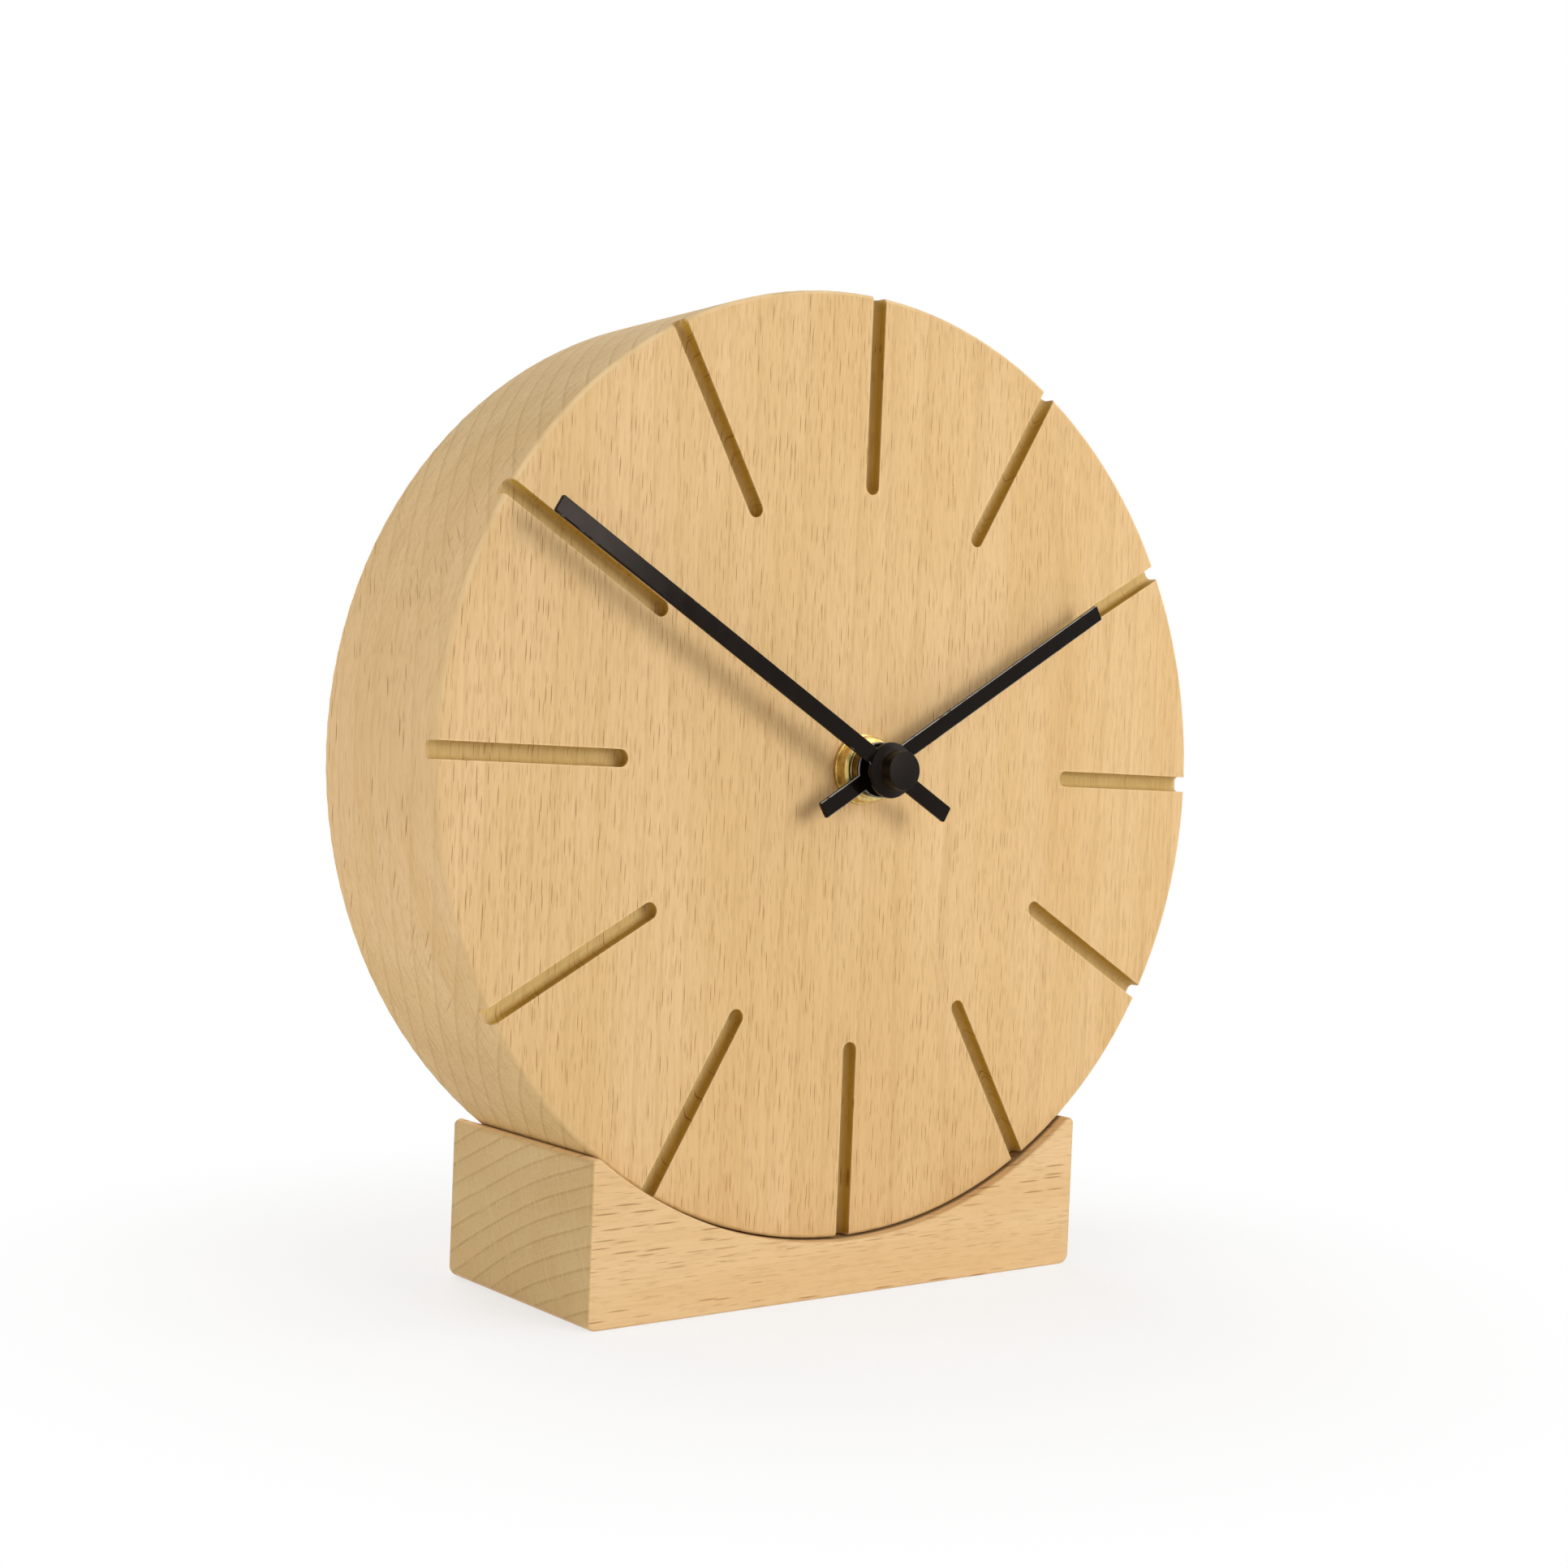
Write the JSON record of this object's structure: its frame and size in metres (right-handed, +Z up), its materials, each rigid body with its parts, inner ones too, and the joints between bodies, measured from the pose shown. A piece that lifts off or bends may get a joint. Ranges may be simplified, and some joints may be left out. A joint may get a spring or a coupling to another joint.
{
  "type": "wooden desk clock",
  "caption": "Desk clock: a thick beech disc with routed hour grooves and black bar hands stands in the cradle of a beech block, with a quartz movement in a rear pocket.",
  "frame": {"origin": "centre of the block's flat bottom face", "axes": "+X to the viewer's right, +Y from the dial to the back, +Z up"},
  "size_m": [0.17, 0.058, 0.1802],
  "materials": {
    "beech_disc": "fine sanded and oiled beech, grain upright",
    "beech_block": "fine sanded and oiled beech, grain lengthwise",
    "screw_steel": "zinc plated",
    "gasket_rubber": "soft black",
    "brass": "turned and polished",
    "hand_black": "satin black on aluminium",
    "cap_black": "satin black",
    "movement_black": "fine moulded texture",
    "knob_plastic": "moulded, notched rim",
    "cell_jacket": "plain printed jacket with metal ends",
    "contact_steel": "nickel plated spring leaf",
    "board_laminate": "paper laminate with copper tracks",
    "crystal_can": "drawn can",
    "chip_resin": "resin drop",
    "motor_iron": "annealed soft iron",
    "bobbin_plastic": "natural moulding",
    "copper_wire": "enamelled copper wire",
    "rotor_magnet": "bonded magnet with moulded pinion",
    "train_plastic": "natural moulded wheels"
  },
  "bodies": {
    "case": {"clock_disc": "beech_disc", "base_block": "beech_block", "base_screws": "screw_steel", "gasket": "gasket_rubber", "face_washer": "brass", "shaft_nut": "brass", "threaded_bush": "brass", "movement_housing": "movement_black", "movement_cover": "movement_black", "battery_contact_positive": "contact_steel", "battery_contact_negative": "contact_steel", "circuit_board": "board_laminate", "quartz_crystal": "crystal_can", "control_chip": "chip_resin", "stator": "motor_iron", "coil_core": "motor_iron", "coil_bobbin": "bobbin_plastic", "coil_winding": "copper_wire"},
    "minute_work": {"minute_tube": "brass", "minute_hand": "hand_black"},
    "hour_work": {"hour_wheel": "train_plastic", "hour_hand": "hand_black"},
    "motion_work": {"motion_wheel": "train_plastic"},
    "setting": {"setting_knob": "knob_plastic"},
    "seconds_work": {"seconds_wheel": "train_plastic", "centre_cap": "cap_black"},
    "intermediate": {"intermediate_wheel": "train_plastic"},
    "motor_rotor": {"rotor": "rotor_magnet"},
    "third": {"third_wheel": "train_plastic"},
    "centre": {"centre_wheel": "train_plastic"},
    "cell": {"battery": "cell_jacket"}
  },
  "joints": [
    {"name": "minute_hand_turn", "type": "hinge", "parent": "case", "child": "minute_work", "pos_m": [0, 0, 0.0952], "axis": [0, 1, 0], "continuous": true},
    {"name": "hour_hand_turn", "type": "hinge", "parent": "case", "child": "hour_work", "pos_m": [0, 0, 0.0952], "axis": [0, 1, 0], "continuous": true},
    {"name": "motion_wheel_turn", "type": "hinge", "parent": "case", "child": "motion_work", "pos_m": [0.009, 0, 0.0952], "axis": [0, 1, 0], "continuous": true},
    {"name": "setting_knob_turn", "type": "hinge", "parent": "case", "child": "setting", "pos_m": [0.018, 0, 0.0952], "axis": [0, 1, 0], "continuous": true},
    {"name": "seconds_wheel_turn", "type": "hinge", "parent": "case", "child": "seconds_work", "pos_m": [0, 0, 0.0952], "axis": [0, 1, 0], "continuous": true},
    {"name": "intermediate_wheel_turn", "type": "hinge", "parent": "case", "child": "intermediate", "pos_m": [0, 0, 0.1042], "axis": [0, 1, 0], "continuous": true},
    {"name": "rotor_turn", "type": "hinge", "parent": "case", "child": "motor_rotor", "pos_m": [-0.00624, 0, 0.1078], "axis": [0, 1, 0], "continuous": true},
    {"name": "third_wheel_turn", "type": "hinge", "parent": "case", "child": "third", "pos_m": [-0.009, 0, 0.0952], "axis": [0, 1, 0], "continuous": true},
    {"name": "centre_wheel_turn", "type": "hinge", "parent": "case", "child": "centre", "pos_m": [0, 0, 0.0952], "axis": [0, 1, 0], "continuous": true},
    {"name": "battery_slide", "type": "slide", "parent": "case", "child": "cell", "axis": [0, 1, 0], "range_m": [0, 0.035]}
  ],
  "couplings": [
    {"joint": "hour_hand_turn", "follows": "minute_hand_turn", "ratio": 0.083333},
    {"joint": "motion_wheel_turn", "follows": "minute_hand_turn", "ratio": -0.33333},
    {"joint": "setting_knob_turn", "follows": "minute_hand_turn", "ratio": 1},
    {"joint": "intermediate_wheel_turn", "follows": "seconds_wheel_turn", "ratio": -6},
    {"joint": "rotor_turn", "follows": "seconds_wheel_turn", "ratio": 30},
    {"joint": "third_wheel_turn", "follows": "seconds_wheel_turn", "ratio": -0.13333},
    {"joint": "centre_wheel_turn", "follows": "seconds_wheel_turn", "ratio": 0.016667}
  ]
}
